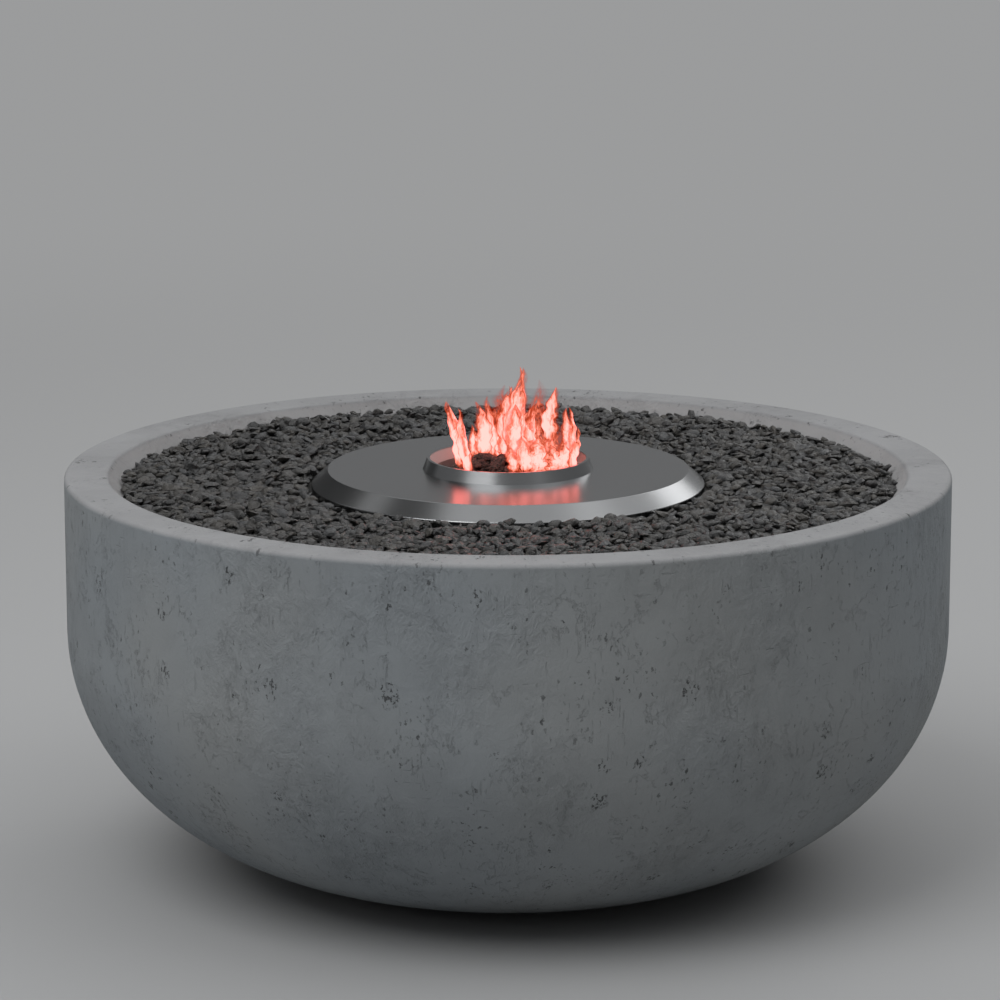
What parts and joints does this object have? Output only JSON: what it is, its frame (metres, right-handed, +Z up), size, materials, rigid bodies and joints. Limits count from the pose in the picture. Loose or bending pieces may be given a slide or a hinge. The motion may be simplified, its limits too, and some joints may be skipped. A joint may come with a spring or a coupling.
{
  "type": "butane fire pit",
  "caption": "Round concrete fire bowl with dark gravel, a bevelled steel burner disc and a raised flame collar; gas knob, spark button and hose inlet at the back.",
  "frame": {"origin": "on the floor under the middle of the bowl", "axes": "+Z up, -Y the plain front of the picture, +Y the back with the knob and the hose inlet"},
  "size_m": [0.8499, 0.85, 0.4832],
  "materials": {
    "concrete": "cast, matte, with pinholes",
    "gravel": "rough crushed stone, charcoal",
    "ember": "rough porous lump, dark brown",
    "satin_steel": "satin, brushed round",
    "burner_steel": "plain, heat tinted",
    "tray_steel": "black, matte",
    "fastener_steel": "plain",
    "brass": "turned",
    "copper": "drawn tube",
    "knob_metal": "black anodised",
    "black_plastic": "moulded",
    "button_steel": "polished",
    "white_ceramic": "glazed",
    "spark_steel": "plain",
    "lead_sleeve": "silicone sleeve",
    "pad_rubber": "moulded",
    "flame": "burning gas"
  },
  "bodies": {
    "base": {"bowl": "concrete", "foot_pads": "pad_rubber", "control_plate": "satin_steel", "plate_screws": "fastener_steel", "gravel_tray": "tray_steel", "gravel_bed": "gravel", "gravel_stones": "gravel", "burner_bridge": "burner_steel", "carrier_screws": "fastener_steel", "burner_cup": "burner_steel", "ring_burner": "burner_steel", "ember_grate": "burner_steel", "ember_lumps": "ember", "flame": "flame", "mixing_tube": "burner_steel", "tube_hanger": "tray_steel", "gas_jet": "brass", "burner_pipe": "copper", "supply_pipe": "copper", "pipe_nuts": "brass", "valve_body": "brass", "valve_nut": "fastener_steel", "igniter_body": "black_plastic", "igniter_nut": "black_plastic", "igniter_lead": "lead_sleeve", "thermocouple_lead": "copper", "lead_clips": "fastener_steel", "electrode_ceramic": "white_ceramic", "spark_electrode": "spark_steel", "thermocouple": "copper", "probe_retainers": "fastener_steel", "gas_inlet": "brass", "inlet_screws": "fastener_steel"},
    "valve_plug": {"valve_plug": "brass"},
    "knob": {"control_knob": "knob_metal", "valve_spindle": "fastener_steel"},
    "igniter_button": {"igniter_button": "button_steel"},
    "air_shutter": {"air_shutter": "burner_steel"},
    "burner_cover": {"burner_cover": "satin_steel", "burner_collar": "satin_steel"}
  },
  "joints": [
    {"name": "knob_turn", "type": "hinge", "parent": "base", "child": "valve_plug", "pos_m": [0.028, 0.4, 0.275], "axis": [0, 1, 0], "range_deg": [-90, 0], "deforming": ["flame"]},
    {"name": "knob_push", "type": "slide", "parent": "valve_plug", "child": "knob", "axis": [0, -1, 0], "range_m": [0, 0.006], "stiffness_N_per_m": 900, "springref_m": -0.002},
    {"name": "igniter_press", "type": "slide", "parent": "base", "child": "igniter_button", "axis": [0, -1, 0], "range_m": [0, 0.005], "stiffness_N_per_m": 1200, "springref_m": -0.002},
    {"name": "shutter_turn", "type": "hinge", "parent": "base", "child": "air_shutter", "pos_m": [0, 0.143, 0.307], "axis": [0, 1, 0], "range_deg": [0, 70]},
    {"name": "cover_lift", "type": "slide", "parent": "base", "child": "burner_cover", "axis": [0, 0, 1], "range_m": [0, 0.16]}
  ]
}
